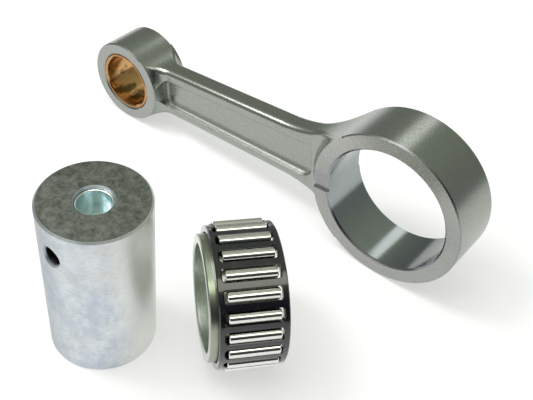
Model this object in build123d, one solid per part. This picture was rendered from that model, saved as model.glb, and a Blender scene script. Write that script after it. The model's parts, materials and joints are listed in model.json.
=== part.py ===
from build123d import *
import os
from math import asin, cos, radians, sin, sqrt, tan

# Connecting rod kit of a single-cylinder four-stroke engine, taken apart and laid out on a bench:
# the rod with its small-end bush stands on its edge, the crank pin stands upright beside it and
# the big-end roller bearing stands on its rollers. Millimetres, +Z up, floor at z = 0. The rod
# lies along X with its small end towards -X, both bore axes are along Y, and the front is -Y.

# Rod
centre_distance = 130.0
big_wall = 6.2              # the big end's wall round its bearing
big_width = 21.6
small_wall = 4.8            # the small end's wall round its bush
small_width = 18.5
stem_thickness = 9.0
stem_half_small = 10.6      # half height of the stem where it leaves the small end
stem_half_big = 12.2        # half height of the stem where it reaches the big end
flare_big = 50.0            # radius of the sweep from the stem's edge into the big end
flare_small = 15.0
collar_radius_big = 8.0     # concave radius from the stem's face up to the ring's face
collar_radius_small = 5.5
stem_edge_radius = 2.4
flange = 4.2
web_thickness = 4.6
pocket_draft = 12.0
pocket_floor_radius = 1.1
pocket_gap_big = 5.4        # wall between the big end's outer circle and the pocket
pocket_gap_small = 0.8
pocket_corner_big = 5.0
pocket_corner_small = 3.5
pocket_rim_radius = 0.4
oil_slot_width = 8.0
oil_slot_depth = 1.1
bore_chamfer = 0.7
edge_chamfer = 0.5

# Small-end bush, pressed in
bush_bore_radius = 11.0
bush_wall = 1.5
bush_chamfer = 0.5
bush_recess = 0.2           # the bush ends this far inside the small end's faces

# Crank pin with its pressed-in cup plug
pin_radius = 17.5
pin_length = 60.0
pin_chamfer = 0.6
oilway_radius = 5.9
oilway_chamfer = 0.5
oilway_floor = 14.0
plug_recess = 1.2
plug_height = 6.0
plug_wall = 0.7
oil_inlet_radius = 3.0
oil_inlet_chamfer = 1.0
oil_inlet_depth = 10.8      # below the pin's top face
oil_inlet_azimuth = 270.0
oil_outlet_radius = 2.0

# Roller bearing, from the inner ring that is pressed on the crank pin outwards
ring_wall = 2.94
roller_count = 22
roller_radius = 1.75
roller_chamfer = 0.25
race_play = 0.03            # radial play of a roller against each raceway
cage_side_play = 0.1        # the cage and the inner ring end this far inside the big end's faces
cage_rim = 1.85             # what is left of the cage beside its windows
cage_inset = 0.95           # how far the rollers stand out of the cage
cage_ring_play = 0.43       # radial gap between the cage and the inner ring
cage_chamfer = 0.3
window_side_play = 0.3
window_end_play = 0.85
window_corner = 0.9
window_chamfer = 0.3
ring_shift = 2.6            # the ring stands out of the cage at one side
ring_chamfer = 0.4
ring_oil_hole_radius = 1.5

# Layout on the floor, from the big end's centre
pin_along, pin_out = -51.9, -95.0
bearing_along, bearing_out = -15.4, -68.2
bearing_yaw = 50.0

# Worked out
bush_radius = bush_bore_radius + bush_wall
small_radius = bush_radius + small_wall
ring_outer_radius = pin_radius + ring_wall
pitch_radius = ring_outer_radius + race_play + roller_radius
big_bore_radius = pitch_radius + roller_radius + race_play
big_radius = big_bore_radius + big_wall
cage_width = big_width - 2 * cage_side_play
window_length = cage_width - 2 * cage_rim
window_width = 2 * (roller_radius + window_side_play)
roller_length = window_length - 2 * window_end_play
rod_lean = asin((big_radius - small_radius) / centre_distance)
left_edge = -centre_distance * cos(rod_lean) - small_radius
big_x = -(left_edge + big_radius) / 2
big_y = -(pin_out - pin_radius + big_width / 2) / 2
cage_outer_radius = pitch_radius + roller_radius - cage_inset
cage_inner_radius = ring_outer_radius + cage_ring_play
roller_step = 360.0 / roller_count
bearing_height = pitch_radius * cos(radians(roller_step / 2)) + roller_radius

rod_plane = Plane(
    origin=(big_x, big_y, big_radius),
    x_dir=(-cos(rod_lean), 0, -sin(rod_lean)),
    z_dir=(0, 1, 0),
)
bearing_axis = (-cos(radians(bearing_yaw)), -sin(radians(bearing_yaw)), 0)
bearing_plane = Plane(
    origin=(big_x + bearing_along, big_y + bearing_out, bearing_height),
    x_dir=(0, 0, 1),
    z_dir=bearing_axis,
)
pin_x = big_x + pin_along
pin_y = big_y + pin_out


def ring_solid(radius, width, chamfer_size):
    """A disc centred on the origin, its two outer edges chamfered."""
    disc = Cylinder(radius, width)
    return chamfer(disc.edges().filter_by(GeomType.CIRCLE), chamfer_size)


def stem_edge():
    """The stem's upper straight edge: a point on it, its direction and its outward normal."""
    start = Vector(big_radius, stem_half_big)
    end = Vector(centre_distance - small_radius, stem_half_small)
    direction = (end - start).normalized()
    return start, direction, Vector(-direction.Y, direction.X)


def flare(ring_x, ring_radius, flare_radius, side):
    """Tangent points, on the ring and on the stem's edge, of the arc that joins the two."""
    start, direction, normal = stem_edge()
    reach = ring_radius + flare_radius
    offset = start + normal * flare_radius - Vector(ring_x, 0)
    along = offset.dot(direction)
    half = sqrt(along**2 - offset.dot(offset) + reach**2)
    centre = offset + direction * (side * half - along)
    on_ring = Vector(ring_x, 0) + centre * (ring_radius / reach)
    on_edge = Vector(ring_x, 0) + centre - normal * flare_radius
    return on_ring, on_edge


def mirrored(point):
    return Vector(point.X, -point.Y)


def stem_outline():
    """The stem seen along the bore axes, with its sweeps into both rings."""
    direction = stem_edge()[1]
    big_ring, big_edge = flare(0, big_radius, flare_big, 1)
    small_ring, small_edge = flare(centre_distance, small_radius, flare_small, -1)
    upper = [
        TangentArc(big_edge, big_ring, tangent=-direction),
        Line(big_edge, small_edge),
        TangentArc(small_edge, small_ring, tangent=direction),
    ]
    flipped = Vector(direction.X, -direction.Y)
    lower = [
        TangentArc(mirrored(big_edge), mirrored(big_ring), tangent=-flipped),
        Line(mirrored(big_edge), mirrored(small_edge)),
        TangentArc(mirrored(small_edge), mirrored(small_ring), tangent=flipped),
    ]
    caps = [
        Line(big_ring, mirrored(big_ring)),
        Line(small_ring, mirrored(small_ring)),
    ]
    return make_face(upper + lower + caps)


def collar(ring_x, ring_radius, width, collar_radius):
    """The turned shape that joins a ring's faces to the thinner stem by a concave arc."""
    rise = (width - stem_thickness) / 2
    run = sqrt(2 * rise * collar_radius - rise**2)
    top = width / 2
    low = stem_thickness / 2
    bottom_point = (ring_radius + run, low)
    half = [
        Line((0, 0), (0, top)),
        Line((0, top), (ring_radius, top)),
        TangentArc(bottom_point, (ring_radius, top), tangent=(-1, 0)),
        Line(bottom_point, (ring_radius + run, 0)),
        Line((ring_radius + run, 0), (0, 0)),
    ]
    section = Plane.XZ * make_face(half)
    upper = revolve(section, Axis.Z)
    return Pos(ring_x, 0, 0) * (upper + mirror(upper, Plane.XY))


def pocket():
    """One recess beside the web, open towards +Z: parallel to the edges, drafted, round at the floor."""
    floor = web_thickness / 2
    start, direction, normal = stem_edge()
    inner = start - normal * flange
    slope = direction.Y / direction.X
    shrink = (stem_thickness - web_thickness) / 2 * tan(radians(pocket_draft))
    big_end = big_radius + pocket_gap_big + shrink
    small_end = centre_distance - small_radius - pocket_gap_small - shrink
    half_big = inner.Y + slope * (big_end - inner.X) - shrink
    half_small = inner.Y + slope * (small_end - inner.X) - shrink
    corners = [
        (big_end, half_big),
        (small_end, half_small),
        (small_end, -half_small),
        (big_end, -half_big),
    ]
    face = make_face(Polyline(*corners, close=True))
    big_corners = face.vertices().group_by(Axis.X)[0]
    face = fillet(big_corners, pocket_corner_big - shrink)
    small_corners = face.vertices().group_by(Axis.X)[-1]
    face = fillet(small_corners, pocket_corner_small - shrink)
    height = big_width / 2 - floor
    body = extrude(Pos(0, 0, floor) * face, height, taper=-pocket_draft)
    return fillet(body.edges().group_by(Axis.Z)[0], pocket_floor_radius)


def round_rims(body):
    """The stem with its collars, rounded along both faces of its long side walls."""
    walls = body.faces().filter_by(lambda face: abs(face.normal_at().Z) < 0.01)
    walls = walls.filter_by(lambda face: abs(face.normal_at().X) < 0.9)
    rims = walls.edges().filter_by(lambda edge: abs(edge.tangent_at(0.5).Z) < 0.9)
    return fillet(rims, stem_edge_radius)


def soften_pocket(body):
    """The pockets' rims rounded: the highest edge of each drafted wall."""
    steep = sin(radians(pocket_draft))
    rims = []
    for face in body.faces().filter_by(lambda face: abs(abs(face.normal_at().Z) - steep) < 0.001):
        rims.append(face.edges().sort_by(lambda edge: abs(edge.center().Z))[-1])
    return fillet(rims, pocket_rim_radius)


def connecting_rod():
    outline = stem_outline()
    wide = extrude(outline, max(big_width, small_width) / 2, both=True)
    body = extrude(outline, stem_thickness / 2, both=True)
    body += wide & collar(0, big_radius, big_width, collar_radius_big)
    body += wide & collar(centre_distance, small_radius, small_width, collar_radius_small)
    body = round_rims(body)
    body += ring_solid(big_radius, big_width, edge_chamfer)
    body += Pos(centre_distance, 0, 0) * ring_solid(small_radius, small_width, edge_chamfer)
    recess = pocket()
    body -= recess
    body -= mirror(recess, Plane.XY)
    body = soften_pocket(body)
    body -= Cylinder(big_bore_radius, big_width * 2)
    body -= Pos(centre_distance, 0, 0) * Cylinder(bush_radius, small_width * 2)
    for side in (-1, 1):
        turned = Pos(0, 0, side * big_width / 2)
        body -= turned * cone_pair(big_bore_radius, bore_chamfer)
        turned = Pos(centre_distance, 0, side * small_width / 2)
        body -= turned * cone_pair(bush_radius, edge_chamfer)
        slot = Box(big_radius, oil_slot_width, oil_slot_depth * 2)
        body -= Pos(big_bore_radius / 2 + big_radius / 2, 0, side * big_width / 2) * slot
    return body


def cone_pair(radius, size):
    """Two cones base to base: a 45 degree chamfer of that size at either mouth of a bore."""
    cone = Pos(0, 0, size / 2) * Cone(radius + size, radius, size)
    return cone + mirror(cone, Plane.XY)


def tube(outer, inner, length, chamfer_size):
    """A tube centred on the origin, all four rims chamfered."""
    body = Cylinder(outer, length) - Cylinder(inner, length)
    return chamfer(body.edges().filter_by(GeomType.CIRCLE), chamfer_size)


def small_end_bush():
    length = small_width - 2 * bush_recess
    body = tube(bush_radius, bush_bore_radius, length, bush_chamfer)
    return Pos(centre_distance, 0, 0) * body


def radial(radius, height, azimuth, reach):
    """A hole tool from the pin's axis outwards, at that height and azimuth."""
    tool = Pos(0, 0, reach / 2) * Cylinder(radius, reach)
    return Pos(0, 0, height) * Rot(0, 0, azimuth) * Rot(0, 90, 0) * tool


def crank_pin():
    body = Pos(0, 0, pin_length / 2) * Cylinder(pin_radius, pin_length)
    body = chamfer(body.edges().filter_by(GeomType.CIRCLE), pin_chamfer)
    depth = pin_length - oilway_floor
    body -= Pos(0, 0, oilway_floor + depth / 2) * Cylinder(oilway_radius, depth)
    body -= Pos(0, 0, pin_length) * cone_pair(oilway_radius, oilway_chamfer)
    inlet_height = pin_length - oil_inlet_depth
    reach = pin_radius * 2
    body -= radial(oil_inlet_radius, inlet_height, oil_inlet_azimuth, reach)
    body -= radial(oil_outlet_radius, pin_length / 2, oil_inlet_azimuth + 180, reach)
    mouth = Pos(0, 0, pin_radius) * cone_pair(oil_inlet_radius, oil_inlet_chamfer)
    body -= Pos(0, 0, inlet_height) * Rot(0, 0, oil_inlet_azimuth) * Rot(0, 90, 0) * mouth
    return body


def crank_pin_plug():
    """A cup with its open side up, pressed into the pin's oilway."""
    top = pin_length - plug_recess
    body = Pos(0, 0, top - plug_height / 2) * Cylinder(oilway_radius, plug_height)
    hollow = plug_height - plug_wall
    body -= Pos(0, 0, top - hollow / 2) * Cylinder(oilway_radius - plug_wall, hollow)
    rim = body.edges().filter_by(GeomType.CIRCLE).group_by(Axis.Z)[-1]
    return fillet(rim, plug_wall * 0.4)


def inner_ring():
    body = tube(ring_outer_radius, pin_radius, cage_width, ring_chamfer)
    hole = Pos(-ring_outer_radius, 0, -ring_shift) * Rot(0, 90, 0)
    body -= hole * Cylinder(ring_oil_hole_radius, ring_outer_radius)
    return Pos(0, 0, ring_shift) * body


def roller_angle(index):
    """Half a step off straight up, so the bearing rests on two rollers."""
    return (index + 0.5) * roller_step


def window_mouth():
    """The chamfer round a window, where it opens through the cage's outside."""
    sagitta = cage_outer_radius - sqrt(cage_outer_radius**2 - (window_width / 2) ** 2)
    deep = window_chamfer + sagitta
    outline = RectangleRounded(window_length + 2 * deep, window_width + 2 * deep, window_corner + deep)
    mouth = extrude(outline, -deep, taper=45)
    return Pos(cage_outer_radius, 0, 0) * Rot(0, 90, 0) * mouth


def roller_cage():
    body = tube(cage_outer_radius, cage_inner_radius, cage_width, cage_chamfer)
    through = 4 * roller_radius
    window = Box(through, window_width, window_length)
    window = fillet(window.edges().filter_by(Axis.X), window_corner)
    window = Pos(pitch_radius, 0, 0) * window + window_mouth()
    windows = [Rot(0, 0, roller_angle(index)) * window for index in range(roller_count)]
    return body - windows


def roller(index):
    body = Cylinder(roller_radius, roller_length)
    body = chamfer(body.edges().filter_by(GeomType.CIRCLE), roller_chamfer)
    return Rot(0, 0, roller_angle(index)) * Pos(pitch_radius, 0, 0) * body


def write(name, shape, place):
    solid = (place * shape).solids()
    assert len(solid) == 1, name
    result = solid[0]
    result.label = name
    export_step(result, f"parts/{name}.step")


os.makedirs("parts", exist_ok=True)
pin_place = Pos(pin_x, pin_y, 0)
write("connecting_rod", connecting_rod(), rod_plane.location)
write("small_end_bush", small_end_bush(), rod_plane.location)
write("crank_pin", crank_pin(), pin_place)
write("crank_pin_plug", crank_pin_plug(), pin_place)
write("bearing_inner_ring", inner_ring(), bearing_plane.location)
write("roller_cage", roller_cage(), bearing_plane.location)
for number in range(roller_count):
    write(f"roller_{number + 1:02d}", roller(number), bearing_plane.location)
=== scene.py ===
import json
import math
import bpy
from mathutils import Matrix, Vector


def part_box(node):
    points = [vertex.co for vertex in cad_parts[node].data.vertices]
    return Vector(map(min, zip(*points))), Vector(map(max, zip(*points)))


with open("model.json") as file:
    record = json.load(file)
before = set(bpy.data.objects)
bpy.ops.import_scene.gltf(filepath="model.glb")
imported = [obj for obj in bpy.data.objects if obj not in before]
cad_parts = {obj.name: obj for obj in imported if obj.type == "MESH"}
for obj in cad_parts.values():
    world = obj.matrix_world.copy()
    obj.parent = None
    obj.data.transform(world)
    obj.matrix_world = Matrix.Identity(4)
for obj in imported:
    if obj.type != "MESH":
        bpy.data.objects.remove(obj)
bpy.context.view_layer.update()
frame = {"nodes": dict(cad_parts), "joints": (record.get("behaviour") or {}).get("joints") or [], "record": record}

MM = 0.001
BUSH_RECESS = 0.2 * MM             # the bush ends this far inside the small end's faces

# Places read from the frame
rod_low, rod_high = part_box("connecting_rod")
bush_low, bush_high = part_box("small_end_bush")
pin_low, pin_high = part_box("crank_pin")
ring_joint = next(joint for joint in frame["joints"] if joint["name"] == "inner_ring_spin")
BIG_RADIUS = rod_high.z / 2
BIG_CENTRE = Vector((rod_high.x - BIG_RADIUS, (rod_low.y + rod_high.y) / 2, BIG_RADIUS))
SMALL_CENTRE = (bush_low + bush_high) / 2
PIN_CENTRE = (pin_low + pin_high) / 2
BEARING_AXIS = Vector(ring_joint["axis"])
BEARING_CENTRE = Vector(ring_joint["pos_m"])
ring_low, ring_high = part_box("bearing_inner_ring")
RING_RADIUS = (ring_high.z - ring_low.z) / 2
mounts = {mount["name"]: mount for mount in frame["record"]["mounts"]}
BIG_BORE = mounts["big_end_bore"]["dims"]["r_mm"] * MM
BUSH_BORE = mounts["small_end_bush_bore"]["dims"]["r_mm"] * MM
BIG_HALF = (rod_high.y - rod_low.y) / 2
SMALL_HALF = (bush_high.y - bush_low.y) / 2 + BUSH_RECESS
SMALL_RADIUS = SMALL_CENTRE.z
PIN_HALF = PIN_CENTRE.z
PIN_RADIUS = (pin_high.x - pin_low.x) / 2
PLUG_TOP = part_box("crank_pin_plug")[1].z - PIN_CENTRE.z
LEAN = math.atan2(BIG_CENTRE.z - SMALL_CENTRE.z, BIG_CENTRE.x - SMALL_CENTRE.x)
STEM_HALF = 4.5 * MM               # half thickness of the rod's stem
SLOT_REACH = 1.5 * MM              # how far below the big end's faces the slot's lighter colour reaches, partly its finish and partly painted light
POCKET_HALF = 8.58 * MM            # half height of the pocket at the big end's centre line
POCKET_TAPER = 0.0194              # and how it narrows along the stem
POCKET_LENGTH = 76.3 * MM
POCKET_MIDDLE = 73.7 * MM          # from the big end's centre
PIN_CHAMFER = 0.62 * MM            # the pin's chamfer and a hair more
FACE_SKIN = 0.06 * MM              # how deep a face's finish is taken to reach
ALONG_BORE = (math.radians(90), 0, 0)


class Value:
    """A shader socket that takes part in Python arithmetic."""

    def __init__(self, paint, socket):
        self.paint = paint
        self.socket = socket

    def maths(self, operation, first, second):
        return self.paint.node("Math", {"operation": operation}, {0: first, 1: second})

    def __add__(self, other):
        return self.maths("ADD", self, other)

    def __radd__(self, other):
        return self.maths("ADD", other, self)

    def __sub__(self, other):
        return self.maths("SUBTRACT", self, other)

    def __rsub__(self, other):
        return self.maths("SUBTRACT", other, self)

    def __mul__(self, other):
        return self.maths("MULTIPLY", self, other)

    def __rmul__(self, other):
        return self.maths("MULTIPLY", other, self)

    def __truediv__(self, other):
        return self.maths("DIVIDE", self, other)

    def __pow__(self, other):
        return self.maths("POWER", self, other)

    def __abs__(self):
        return self.maths("ABSOLUTE", self, 0.0)

    def __gt__(self, other):
        return self.maths("GREATER_THAN", self, other)

    def __lt__(self, other):
        return self.maths("LESS_THAN", self, other)


class Nodes:
    """A node tree being built: node() adds one node and hands back its output."""

    def __init__(self, tree):
        self.tree = tree

    def feed(self, socket, value):
        if isinstance(value, Value):
            self.tree.links.new(value.socket, socket)
        else:
            socket.default_value = value

    def add(self, kind, settings, inputs):
        made = self.tree.nodes.new("ShaderNode" + kind)
        for key, value in settings.items():
            if key == "stops":
                self.set_stops(made.color_ramp, value)
            else:
                setattr(made, key, value)
        for key, value in inputs.items():
            self.feed(made.inputs[key], value)
        return made

    def set_stops(self, ramp, stops):
        while len(ramp.elements) < len(stops):
            ramp.elements.new(0.5)
        for element, (place, colour) in zip(ramp.elements, stops):
            element.position = place
            element.color = colour

    def node(self, kind, settings=None, inputs=None, output=0):
        return Value(self, self.add(kind, settings or {}, inputs or {}).outputs[output])

    def split(self, vector):
        made = self.add("SeparateXYZ", {}, {0: vector})
        return [Value(self, socket) for socket in made.outputs]

    def join(self, x, y, z):
        return self.node("CombineXYZ", {}, {0: x, 1: y, 2: z})

    def ramp(self, value, low, high, start=0.0, end=1.0):
        """A smooth step from start to end as value goes from low to high."""
        inputs = {"Value": value, 1: low, 2: high, 3: start, 4: end}
        return self.node("MapRange", {"interpolation_type": "SMOOTHSTEP"}, inputs)

    def blend(self, mask, first, second):
        """The first colour where the mask is 0, the second where it is 1."""
        return self.node("Mix", {"data_type": "RGBA"}, {0: mask, 6: first, 7: second}, 2)


class Paint(Nodes):
    def __init__(self, name):
        self.material = bpy.data.materials.new(name)
        self.material.use_nodes = True
        super().__init__(self.material.node_tree)
        self.tree.nodes.clear()
        self.shader = self.add("BsdfPrincipled", {}, {})
        output = self.add("OutputMaterial", {}, {})
        self.tree.links.new(self.shader.outputs[0], output.inputs[0])

    def place(self, centre, turn=(0, 0, 0), scale=(1, 1, 1)):
        """Object coordinates measured from a centre, then turned and scaled."""
        spot = self.node("TexCoord", output="Object")
        shifted = self.node(
            "VectorMath", {"operation": "SUBTRACT"}, {0: spot, 1: tuple(centre)}
        )
        return self.node("Mapping", {}, {"Vector": shifted, "Rotation": turn, "Scale": scale})

    def noise(self, vector, scale, detail=3.0, roughness=0.55):
        """Noise of that many cycles a metre, 0 to 1."""
        inputs = {"Vector": vector, "Scale": scale, "Detail": detail, "Roughness": roughness}
        return self.node("TexNoise", {}, inputs)

    def bump(self, height, distance, strength):
        return self.node(
            "Bump", {}, {"Height": height, "Distance": distance, "Strength": strength}
        )

    def finish(self, **sockets):
        for name, value in sockets.items():
            self.feed(self.shader.inputs[name.replace("_", " ")], value)
        return self.material


def rgb(red, green, blue):
    return (red, green, blue, 1.0)


def length_of(paint, first, second):
    """The distance from an axis, from the two coordinates across it."""
    return (first * first + second * second) ** 0.5


def round_lines(paint, centre, turn, scale, wander=0.6):
    """Marks that run round an axis: noise read at (wander x cos, wander x sin, height + radius)."""
    x, y, z = paint.split(paint.place(centre, turn))
    radius = length_of(paint, x, y)
    ring = paint.join(x / radius * wander * MM, y / radius * wander * MM, z + radius)
    return paint.noise(ring, scale, 4.0, 0.6)


def rod_steel():
    """Forged stem with a fine grain, a darker pocket with painted shade along its walls and ends, ground ring
    faces with painted light toward the top, a slot partly finished and partly painted light, honed bores with
    painted shade toward the right.
    """
    paint = Paint("rod_steel")
    spot = paint.place(BIG_CENTRE)
    x, y, z = paint.split(spot)
    small_x, small_y, small_z = paint.split(paint.place(SMALL_CENTRE))
    big_reach = length_of(paint, x, z)
    small_reach = length_of(paint, small_x, small_z)
    bore = paint.ramp(big_reach, BIG_BORE + 0.1 * MM, BIG_BORE + 0.5 * MM, 1.0, 0.0)
    in_big = big_reach < BIG_RADIUS
    in_small = small_reach < SMALL_RADIUS
    big_face = in_big * (abs(y) > BIG_HALF - FACE_SKIN)
    small_face = in_small * (abs(small_y) > SMALL_HALF - FACE_SKIN)
    # The slot takes half the ground face colour: partly its machined finish, partly painted light.
    slot = in_big * (abs(y) > BIG_HALF - SLOT_REACH) * (x < -BIG_BORE) * (1.0 - big_face)
    ground = (big_face + small_face) * (1.0 - bore) + slot * 0.5
    rim = paint.ramp(big_reach, BIG_RADIUS - 0.3 * MM, BIG_RADIUS - 0.1 * MM)

    along, _, across = paint.split(paint.place(BIG_CENTRE, (0, LEAN, 0)))
    side_gap = POCKET_HALF + along * POCKET_TAPER - abs(across)
    end_gap = POCKET_LENGTH / 2 - abs(along + POCKET_MIDDLE)
    inside = paint.ramp(side_gap, 1.0 * MM, 3.4 * MM) * paint.ramp(end_gap, 0.8 * MM, 2.6 * MM)
    pocket = (side_gap > -0.4 * MM) * (end_gap > -0.4 * MM) * (abs(y) < STEM_HALF - 0.1 * MM)
    corner_shade = pocket * (1.0 - inside)

    grain = paint.noise(spot, 2300.0, 4.0, 0.65)
    blotch = paint.noise(spot, 140.0, 5.0, 0.6)
    drawn = paint.noise(paint.place(BIG_CENTRE, (0, LEAN, 0), (0.05, 1.0, 1.0)), 2600.0, 4.0)
    wheel = paint.noise(paint.place(BIG_CENTRE, (0, 0.6, 0), (0.04, 1.0, 1.0)), 4200.0, 3.0)
    honed = round_lines(paint, BIG_CENTRE, ALONG_BORE, 9000.0)

    speckle = paint.ramp(grain, 0.3, 0.7)
    forged = paint.blend(blotch, rgb(0.25, 0.23, 0.28), rgb(0.38, 0.36, 0.425))
    forged = paint.blend(speckle * 0.45, forged, rgb(0.17, 0.165, 0.185))
    # The pocket is given a darker tone as a whole; near its walls and ends it is painted near black as shade.
    forged = paint.blend(pocket * 0.5, forged, rgb(0.14, 0.14, 0.16))
    forged = paint.blend(corner_shade * 0.75, forged, rgb(0.05, 0.05, 0.06))
    face_finish_and_light = paint.blend(wheel, rgb(0.28, 0.29, 0.28), rgb(0.42, 0.43, 0.41))
    # Painted light: the ring faces are lighter toward the top.
    face_finish_and_light = paint.blend(paint.ramp(z, 0.0, BIG_BORE) * 0.6, face_finish_and_light, rgb(0.62, 0.62, 0.58))
    face_finish_and_light = paint.blend(speckle * 0.2, face_finish_and_light, rgb(0.26, 0.26, 0.27))
    bore_finish_and_shade = paint.blend(honed, rgb(0.22, 0.25, 0.25), rgb(0.40, 0.43, 0.43))
    # Painted shade: the big bore is darker toward its right side.
    bore_finish_and_shade = paint.blend(paint.ramp(x, -5.0 * MM, 18.0 * MM) * 0.6, bore_finish_and_shade, rgb(0.14, 0.155, 0.15))
    turned = paint.blend(drawn, rgb(0.29, 0.31, 0.28), rgb(0.42, 0.44, 0.41))
    turned = paint.blend(speckle * 0.4, turned, rgb(0.20, 0.21, 0.20))
    base = paint.blend(rim, forged, turned)
    base = paint.blend(ground, base, face_finish_and_light)
    base = paint.blend(bore, base, bore_finish_and_shade)
    polish = bore * 0.14 + ground * 0.02 + rim * 0.04
    roughness = 0.24 + speckle * 0.08 + blotch * 0.05 + corner_shade * 0.25 - polish
    rough_height = (grain * 0.7 + drawn * 0.5) * (1.0 - bore - ground * 0.8)
    height = rough_height + honed * bore + wheel * ground
    normal = paint.bump(height, 0.02 * MM, 0.14)
    return paint.finish(Base_Color=base, Metallic=1.0, Roughness=roughness, Normal=normal)


def bush_bronze():
    """Bored bronze with an oil-darkened middle, bright rims and turning lines round the bore."""
    paint = Paint("bush_bronze")
    spot = paint.place(SMALL_CENTRE)
    x, _, z = paint.split(spot)
    lines = round_lines(paint, SMALL_CENTRE, ALONG_BORE, 6000.0)
    stain = paint.noise(paint.place(SMALL_CENTRE, (0, 0, 0), (1.0, 0.5, 1.0)), 230.0, 5.0, 0.65)
    reach = length_of(paint, x, z)
    inside = paint.ramp(reach, BUSH_BORE + 0.05 * MM, BUSH_BORE + 0.3 * MM, 1.0, 0.0)
    bronze = paint.blend(lines, rgb(0.40, 0.19, 0.08), rgb(0.58, 0.33, 0.16))
    clean = paint.ramp(stain, 0.36, 0.56)
    oiled = paint.blend(clean, rgb(0.14, 0.085, 0.03), rgb(0.62, 0.36, 0.15))
    base = paint.blend(inside, bronze, oiled)
    roughness = 0.08 + lines * 0.10 + stain * 0.08
    normal = paint.bump(lines + stain * inside * 2.0, 0.03 * MM, 0.5)
    return paint.finish(Base_Color=base, Metallic=1.0, Roughness=roughness, Normal=normal)


def pin_steel():
    """Ground bearing steel with fine rings and faint blue clouds, and a stained end face.

    The side has painted shade toward the front left and painted light toward the back right.
    """
    paint = Paint("pin_steel")
    spot = paint.place(PIN_CENTRE)
    x, y, z = paint.split(spot)
    reach = length_of(paint, x, y)
    end_face = (abs(z) > PIN_HALF - FACE_SKIN) * (reach < PIN_RADIUS - PIN_CHAMFER)
    hole_shade = paint.ramp(reach, PIN_RADIUS - 0.9 * MM, PIN_RADIUS - 0.2 * MM, 1.0, 0.0)
    hole_shade = hole_shade * (1.0 - end_face)
    hole_shade = hole_shade * (abs(z) < PIN_HALF - 1.2 * MM)
    rings = round_lines(paint, PIN_CENTRE, (0, 0, 0), 2600.0, 3.0)
    cloud = paint.noise(paint.place(PIN_CENTRE, (0, 0, 0), (1.0, 1.0, 0.6)), 150.0, 6.0, 0.7)
    tint = paint.noise(paint.place(PIN_CENTRE, (0.4, 0.3, 0)), 70.0, 2.0)
    stain = paint.noise(spot, 420.0, 8.0, 0.75)
    side = paint.blend(paint.ramp(tint, 0.35, 0.65), rgb(0.46, 0.52, 0.60), rgb(0.60, 0.60, 0.60))
    side = paint.blend(paint.ramp(cloud, 0.35, 0.7), side, rgb(0.68, 0.72, 0.76))
    side = paint.blend(paint.ramp(rings, 0.4, 0.7) * 0.45, side, rgb(0.42, 0.45, 0.49))
    # Painted shade toward the front left of the side and painted light toward its back right.
    across = paint.split(paint.place(PIN_CENTRE, (0, 0, -HEADING)))[0]
    painted_shade_left = paint.ramp(across, -0.3 * PIN_RADIUS, -PIN_RADIUS) * 0.6
    side = paint.blend(painted_shade_left, side, rgb(0.22, 0.25, 0.29))
    bright = paint.ramp(across, 0.3 * PIN_RADIUS, PIN_RADIUS) * 0.8
    side = paint.blend(bright, side, rgb(0.86, 0.86, 0.82))
    end_colour = paint.blend(
        paint.ramp(stain, 0.3, 0.7), rgb(0.085, 0.095, 0.08), rgb(0.22, 0.23, 0.21)
    )
    base = paint.blend(end_face, side, end_colour)
    # Painted shade: the inside of the pin's holes is near black.
    base = paint.blend(hole_shade, base, rgb(0.10, 0.10, 0.10))
    roughness = 0.34 + rings * 0.14 + end_face * stain * 0.12
    height = rings * (1.0 - end_face) + stain * end_face
    normal = paint.bump(height, 0.03 * MM, 0.5)
    return paint.finish(Base_Color=base, Metallic=1.0, Roughness=roughness, Normal=normal)


def plug_zinc():
    """Pale blue zinc plate over a drawn cup, its rolled rim a lighter colour."""
    paint = Paint("plug_zinc")
    z = paint.split(paint.place(PIN_CENTRE))[2]
    cloud = paint.noise(paint.place(PIN_CENTRE), 700.0, 4.0)
    drawn = round_lines(paint, PIN_CENTRE, (0, 0, 0), 5000.0)
    rim = paint.ramp(z, PLUG_TOP - 0.5 * MM, PLUG_TOP - 0.2 * MM)
    base = paint.blend(cloud, rgb(0.56, 0.72, 0.74), rgb(0.74, 0.88, 0.90))
    base = paint.blend(rim, base, rgb(0.88, 0.92, 0.88))
    roughness = 0.16 + cloud * 0.10 + drawn * 0.06
    normal = paint.bump(drawn + cloud, 0.03 * MM, 0.4)
    return paint.finish(Base_Color=base, Metallic=1.0, Roughness=roughness, Normal=normal)


def axis_turn(axis):
    """The turn that a Mapping node needs to bring that axis onto its own Z."""
    return axis.to_track_quat("Z", "Y").inverted().to_euler()


def ring_steel():
    """Ground inner ring, faintly green with preserving oil, lines round its axis, its raceway painted darker as
    shade.
    """
    paint = Paint("ring_steel")
    rings = round_lines(paint, BEARING_CENTRE, axis_turn(BEARING_AXIS), 5200.0)
    oil = paint.noise(paint.place(BEARING_CENTRE), 150.0, 4.0)
    x, y, _ = paint.split(paint.place(BEARING_CENTRE, axis_turn(BEARING_AXIS)))
    raceway = paint.ramp(length_of(paint, x, y), RING_RADIUS - 0.5 * MM, RING_RADIUS - 0.2 * MM)
    base = paint.blend(oil, rgb(0.62, 0.67, 0.60), rgb(0.82, 0.85, 0.80))
    # Painted shade: the raceway is a darker copy of the ring's ground steel.
    shaded_raceway = paint.blend(oil, rgb(0.24, 0.27, 0.21), rgb(0.38, 0.41, 0.34))
    base = paint.blend(raceway, base, shaded_raceway)
    base = paint.blend(rings * 0.35, base, rgb(0.42, 0.46, 0.40))
    normal = paint.bump(rings, 0.03 * MM, 0.5)
    return paint.finish(Base_Color=base, Metallic=1.0, Roughness=0.22 + rings * 0.12, Normal=normal)


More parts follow.
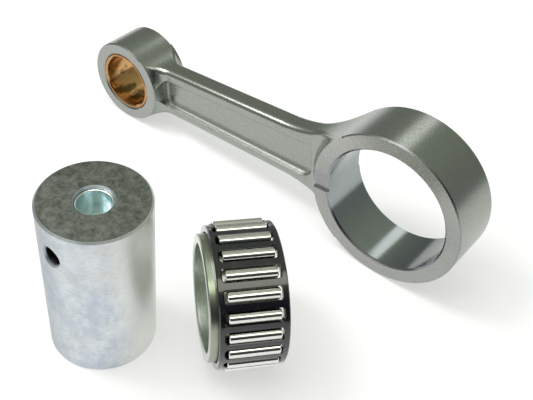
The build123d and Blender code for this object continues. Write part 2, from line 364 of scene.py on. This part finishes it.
def roller_steel():
    """Lapped rollers, nearly mirror bright, with faint lengthwise bands."""
    paint = Paint("roller_steel")
    turn = axis_turn(BEARING_AXIS)
    bands = paint.noise(paint.place(BEARING_CENTRE, turn, (1.0, 1.0, 0.03)), 1500.0, 3.0)
    cloud = paint.noise(paint.place(BEARING_CENTRE), 600.0, 3.0)
    base = paint.blend(cloud, rgb(0.66, 0.66, 0.655), rgb(0.84, 0.83, 0.80))
    normal = paint.bump(bands, 0.02 * MM, 0.4)
    return paint.finish(Base_Color=base, Metallic=1.0, Roughness=0.08 + cloud * 0.08, Normal=normal)


def cage_black():
    """Glossy black oxide over steel, worn thin in places."""
    paint = Paint("cage_black")
    spot = paint.place(BEARING_CENTRE)
    cloud = paint.noise(spot, 240.0, 5.0, 0.6)
    pores = paint.noise(spot, 2400.0, 2.0)
    thin = paint.ramp(cloud, 0.56, 0.74)
    base = paint.blend(thin, rgb(0.005, 0.005, 0.008), rgb(0.024, 0.023, 0.024))
    roughness = 0.10 + cloud * 0.12
    normal = paint.bump(pores, 0.015 * MM, 0.35)
    return paint.finish(
        Base_Color=base, Roughness=roughness, Normal=normal,
        Specular_IOR_Level=0.5, Coat_Weight=0.5 + cloud * 0.3, Coat_Roughness=0.05,
    )


def dress(node, material):
    mesh = frame["nodes"][node].data
    mesh.materials.clear()
    mesh.materials.append(material)


def dress_all():
    dress("connecting_rod", rod_steel())
    dress("small_end_bush", bush_bronze())
    dress("crank_pin", pin_steel())
    dress("crank_pin_plug", plug_zinc())
    dress("bearing_inner_ring", ring_steel())
    dress("roller_cage", cage_black())
    rollers = roller_steel()
    for node in sorted(frame["nodes"]):
        if node.startswith("roller_") and node != "roller_cage":
            dress(node, rollers)


# Camera: where it stands from the floor under the big end, how it is turned, and its lens
EYE = Vector((87.7, -210.4, 234.1)) * MM
HEADING = math.radians(34.5)      # left of straight along +Y
PITCH = math.radians(43.7)         # down from level
ROLL = math.radians(6.5)
SENSOR = 36.0                      # mm
LENS = 57.4                        # mm
DARK_SIDE = (0.83, -0.55, 0.0)     # the way to the room's dark wall


def make_camera():
    data = bpy.data.cameras.new("camera")
    data.lens = LENS
    data.sensor_width = SENSOR
    data.clip_start = 0.01
    data.clip_end = 20.0
    camera = bpy.data.objects.new("camera", data)
    bpy.context.scene.collection.objects.link(camera)
    turn = (
        Matrix.Rotation(HEADING, 4, "Z")
        @ Matrix.Rotation(math.pi / 2 - PITCH, 4, "X")
        @ Matrix.Rotation(ROLL, 4, "Z")
    )
    place = Vector((BIG_CENTRE.x, BIG_CENTRE.y, 0)) + EYE
    camera.matrix_world = Matrix.Translation(place) @ turn
    bpy.context.scene.camera = camera


def make_floor():
    """A plain white table, with a little light of its own, as a light table has."""
    mesh = bpy.data.meshes.new("floor")
    half = 6.0
    corners = [(-half, -half, 0), (half, -half, 0), (half, half, 0), (-half, half, 0)]
    mesh.from_pydata(corners, [], [(0, 1, 2, 3)])
    floor = bpy.data.objects.new("floor", mesh)
    bpy.context.scene.collection.objects.link(floor)
    paint = Paint("floor_white")
    white = paint.finish(
        Base_Color=rgb(0.45, 0.45, 0.45), Roughness=0.9,
        Emission_Color=rgb(0.9, 0.9, 0.9), Emission_Strength=0.6,
    )
    mesh.materials.append(white)


def soft_light(name, toward, distance, size, power, colour=(1, 1, 1)):
    """A square soft box that faces the middle of the layout."""
    data = bpy.data.lights.new(name, "AREA")
    data.shape = "SQUARE"
    data.size = size
    data.energy = power
    data.color = colour
    light = bpy.data.objects.new(name, data)
    bpy.context.scene.collection.objects.link(light)
    direction = Vector(toward).normalized()
    light.matrix_world = (
        Matrix.Translation(direction * distance)
        @ direction.to_track_quat("Z", "Y").to_matrix().to_4x4()
    )


def make_world():
    """A dim olive room for the metal to mirror, darker to the front right; pale to the camera."""
    world = bpy.data.worlds.new("studio")
    world.use_nodes = True
    room = Nodes(world.node_tree)
    direction = room.node("TexCoord", output="Generated")
    height = room.split(direction)[2]
    stops = [
        (0.0, rgb(0.24, 0.25, 0.25)),
        (0.6, rgb(0.33, 0.36, 0.30)),
        (1.0, rgb(0.50, 0.54, 0.44)),
    ]
    walls = room.node("ValToRGB", {"stops": stops}, {0: height})
    dark_side = room.node(
        "VectorMath", {"operation": "DOT_PRODUCT"}, {0: direction, 1: DARK_SIDE}, "Value"
    )
    walls = room.blend(room.ramp(dark_side, 0.45, 0.95), walls, rgb(0.03, 0.03, 0.035))
    seen = room.node("LightPath", output="Is Camera Ray")
    colour = room.blend(seen, walls, rgb(0.92, 0.93, 0.93))
    room.feed(world.node_tree.nodes["Background"].inputs[0], colour)
    bpy.context.scene.world = world


def make_lights():
    soft_light("overhead", (-0.25, -0.25, 1.0), 1.2, 0.9, 8.0)
    soft_light("edge_strip", (-0.46, -0.23, 0.87), 1.0, 0.25, 3.6)
    soft_light("top_right_card", (0.42, -0.15, 0.93), 1.0, 0.3, 0.8, (1.0, 1.0, 0.86))
    soft_light("back_card", (-0.2, 0.72, 0.66), 0.9, 0.2, 0.2)
    make_world()
    bpy.context.scene.view_settings.view_transform = "Standard"


make_camera()
make_floor()
make_lights()
dress_all()
